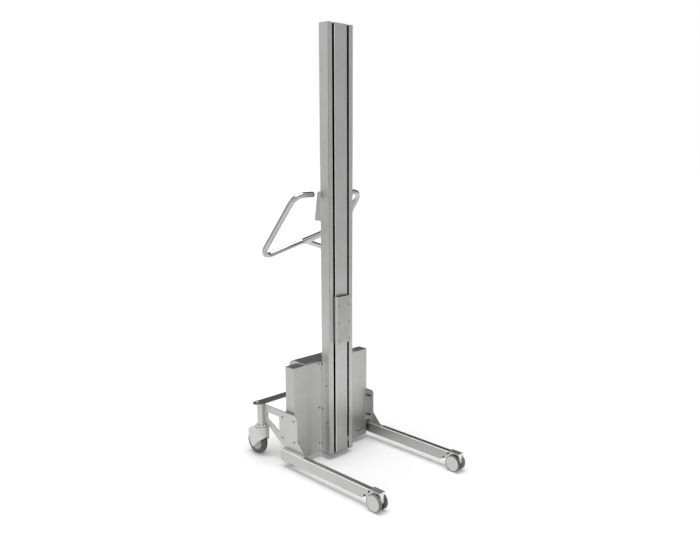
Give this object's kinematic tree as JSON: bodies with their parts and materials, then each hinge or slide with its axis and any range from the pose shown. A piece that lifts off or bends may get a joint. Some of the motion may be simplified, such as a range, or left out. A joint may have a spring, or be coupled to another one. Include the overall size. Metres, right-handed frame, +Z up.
{
  "type": "lifting trolley",
  "caption": "Battery-electric lifting trolley in stainless steel: a slotted mast with a belt-driven carriage plate for lifting tools, on a low wheeled base with a push handle.",
  "frame": {"origin": "on the floor, in the middle of the outline in plan with the rear castors trailing to the rear", "axes": "+Z up; the legs point to -Y, the push handle to +Y; +X to the right seen from the front"},
  "size_m": [0.576, 0.8716, 1.9094],
  "materials": {
    "mast_steel": "satin",
    "carriage_steel": "satin",
    "cover_steel": "satin",
    "frame_steel": "satin",
    "handle_steel": "fine brushed",
    "screw_steel": "satin",
    "inner_steel": "plain",
    "aluminium": "machined",
    "hood": "smooth",
    "wheel": "matte",
    "belt": "matte",
    "roller": "matte",
    "cap": "matte",
    "casing": "matte",
    "box": "satin",
    "battery": "matte",
    "button": "matte",
    "stop": "glossy"
  },
  "bodies": {
    "trolley_frame": {"mast_profile": "mast_steel", "mast_front_strip": "mast_steel", "mast_top_cap": "mast_steel", "mast_foot": "casing", "mast_mounts": "inner_steel", "mast_side_fillers": "mast_steel", "toothed_belt": "belt", "idler_bracket": "inner_steel", "lift_gearmotor": "aluminium", "battery_packs": "battery", "drive_controller": "aluminium", "front_cover": "cover_steel", "back_panel": "inner_steel", "rear_housing": "cover_steel", "charging_socket": "cap", "corner_angles": "frame_steel", "side_plate_left": "frame_steel", "side_plate_right": "frame_steel", "leg_left": "frame_steel", "leg_right": "frame_steel", "front_castor_body_left": "frame_steel", "front_castor_body_right": "frame_steel", "front_axles": "screw_steel", "castor_body_bolts": "screw_steel", "rear_post_left": "frame_steel", "rear_post_right": "frame_steel", "cross_plate": "frame_steel", "castor_collar_left": "frame_steel", "castor_collar_right": "frame_steel", "handle_tube": "handle_steel", "handle_caps": "cap", "handle_stub": "handle_steel", "control_box": "box", "housing_screws": "screw_steel", "frame_bolts": "screw_steel"},
    "carriage": {"carriage_plate": "carriage_steel", "slider_frame": "inner_steel", "roller_pins": "screw_steel"},
    "drive_pulley": {"drive_pulley": "aluminium"},
    "idler_pulley": {"idler_pulley": "aluminium"},
    "up_button": {"up_button": "button"},
    "down_button": {"down_button": "button"},
    "emergency_stop": {"emergency_stop": "stop"},
    "guide_roller_lower_left": {"guide_roller_lower_left": "roller"},
    "guide_roller_upper_left": {"guide_roller_upper_left": "roller"},
    "front_wheel_outer_left": {"front_wheel_outer_left": "wheel"},
    "front_wheel_inner_left": {"front_wheel_inner_left": "wheel"},
    "rear_castor_left": {"rear_castor_hood_left": "hood", "rear_axle_left": "screw_steel"},
    "rear_wheel_left": {"rear_wheel_left": "wheel"},
    "guide_roller_lower_right": {"guide_roller_lower_right": "roller"},
    "guide_roller_upper_right": {"guide_roller_upper_right": "roller"},
    "front_wheel_outer_right": {"front_wheel_outer_right": "wheel"},
    "front_wheel_inner_right": {"front_wheel_inner_right": "wheel"},
    "rear_castor_right": {"rear_castor_hood_right": "hood", "rear_axle_right": "screw_steel"},
    "rear_wheel_right": {"rear_wheel_right": "wheel"}
  },
  "joints": [
    {"name": "carriage_lift", "type": "slide", "parent": "trolley_frame", "child": "carriage", "axis": [0, 0, 1], "range_m": [-0.46, 1.05]},
    {"name": "drive_pulley_turn", "type": "hinge", "parent": "trolley_frame", "child": "drive_pulley", "pos_m": [0, 0.1003, 0.15], "axis": [0, 1, 0], "range_deg": [-2509, 1101]},
    {"name": "idler_pulley_turn", "type": "hinge", "parent": "trolley_frame", "child": "idler_pulley", "pos_m": [0, 0.1003, 1.87], "axis": [0, 1, 0], "range_deg": [-2509, 1101]},
    {"name": "guide_roller_lower_left_turn", "type": "hinge", "parent": "carriage", "child": "guide_roller_lower_left", "pos_m": [-0.06, 0.09305, 0.593], "axis": [1, 0, 0], "range_deg": [-2573, 1129]},
    {"name": "guide_roller_upper_left_turn", "type": "hinge", "parent": "carriage", "child": "guide_roller_upper_left", "pos_m": [-0.06, 0.09305, 0.727], "axis": [1, 0, 0], "range_deg": [-1129, 2573]},
    {"name": "front_wheel_outer_left_roll", "type": "hinge", "parent": "trolley_frame", "child": "front_wheel_outer_left", "pos_m": [-0.2732, -0.3983, 0.0375], "axis": [1, 0, 0], "continuous": true},
    {"name": "front_wheel_inner_left_roll", "type": "hinge", "parent": "trolley_frame", "child": "front_wheel_inner_left", "pos_m": [-0.2392, -0.3983, 0.0375], "axis": [1, 0, 0], "continuous": true},
    {"name": "rear_castor_left_swivel", "type": "hinge", "parent": "trolley_frame", "child": "rear_castor_left", "pos_m": [-0.252, 0.3418, 0.138], "axis": [0, 0, 1], "continuous": true},
    {"name": "rear_wheel_left_roll", "type": "hinge", "parent": "rear_castor_left", "child": "rear_wheel_left", "pos_m": [-0.252, 0.3733, 0.0625], "axis": [1, 0, 0], "continuous": true},
    {"name": "guide_roller_lower_right_turn", "type": "hinge", "parent": "carriage", "child": "guide_roller_lower_right", "pos_m": [0.06, 0.09305, 0.593], "axis": [1, 0, 0], "range_deg": [-2573, 1129]},
    {"name": "guide_roller_upper_right_turn", "type": "hinge", "parent": "carriage", "child": "guide_roller_upper_right", "pos_m": [0.06, 0.09305, 0.727], "axis": [1, 0, 0], "range_deg": [-1129, 2573]},
    {"name": "front_wheel_outer_right_roll", "type": "hinge", "parent": "trolley_frame", "child": "front_wheel_outer_right", "pos_m": [0.2732, -0.3983, 0.0375], "axis": [1, 0, 0], "continuous": true},
    {"name": "front_wheel_inner_right_roll", "type": "hinge", "parent": "trolley_frame", "child": "front_wheel_inner_right", "pos_m": [0.2392, -0.3983, 0.0375], "axis": [1, 0, 0], "continuous": true},
    {"name": "rear_castor_right_swivel", "type": "hinge", "parent": "trolley_frame", "child": "rear_castor_right", "pos_m": [0.252, 0.3418, 0.138], "axis": [0, 0, 1], "continuous": true},
    {"name": "rear_wheel_right_roll", "type": "hinge", "parent": "rear_castor_right", "child": "rear_wheel_right", "pos_m": [0.252, 0.3733, 0.0625], "axis": [1, 0, 0], "continuous": true},
    {"name": "up_button_press", "type": "slide", "parent": "trolley_frame", "child": "up_button", "axis": [0, -0.9901, -0.1402], "range_m": [0, 0.0025], "stiffness_N_per_m": 600, "springref_m": -0.002},
    {"name": "down_button_press", "type": "slide", "parent": "trolley_frame", "child": "down_button", "axis": [0, -0.9901, -0.1402], "range_m": [0, 0.0025], "stiffness_N_per_m": 600, "springref_m": -0.002},
    {"name": "emergency_stop_press", "type": "slide", "parent": "trolley_frame", "child": "emergency_stop", "axis": [0, -0.9901, -0.1402], "range_m": [0, 0.004]}
  ],
  "couplings": [
    {"joint": "drive_pulley_turn", "follows": "carriage_lift", "rad_per_m": -41.667},
    {"joint": "idler_pulley_turn", "follows": "carriage_lift", "rad_per_m": -41.667},
    {"joint": "guide_roller_lower_left_turn", "follows": "carriage_lift", "rad_per_m": -42.735},
    {"joint": "guide_roller_upper_left_turn", "follows": "carriage_lift", "rad_per_m": 42.735},
    {"joint": "guide_roller_lower_right_turn", "follows": "carriage_lift", "rad_per_m": -42.735},
    {"joint": "guide_roller_upper_right_turn", "follows": "carriage_lift", "rad_per_m": 42.735}
  ]
}
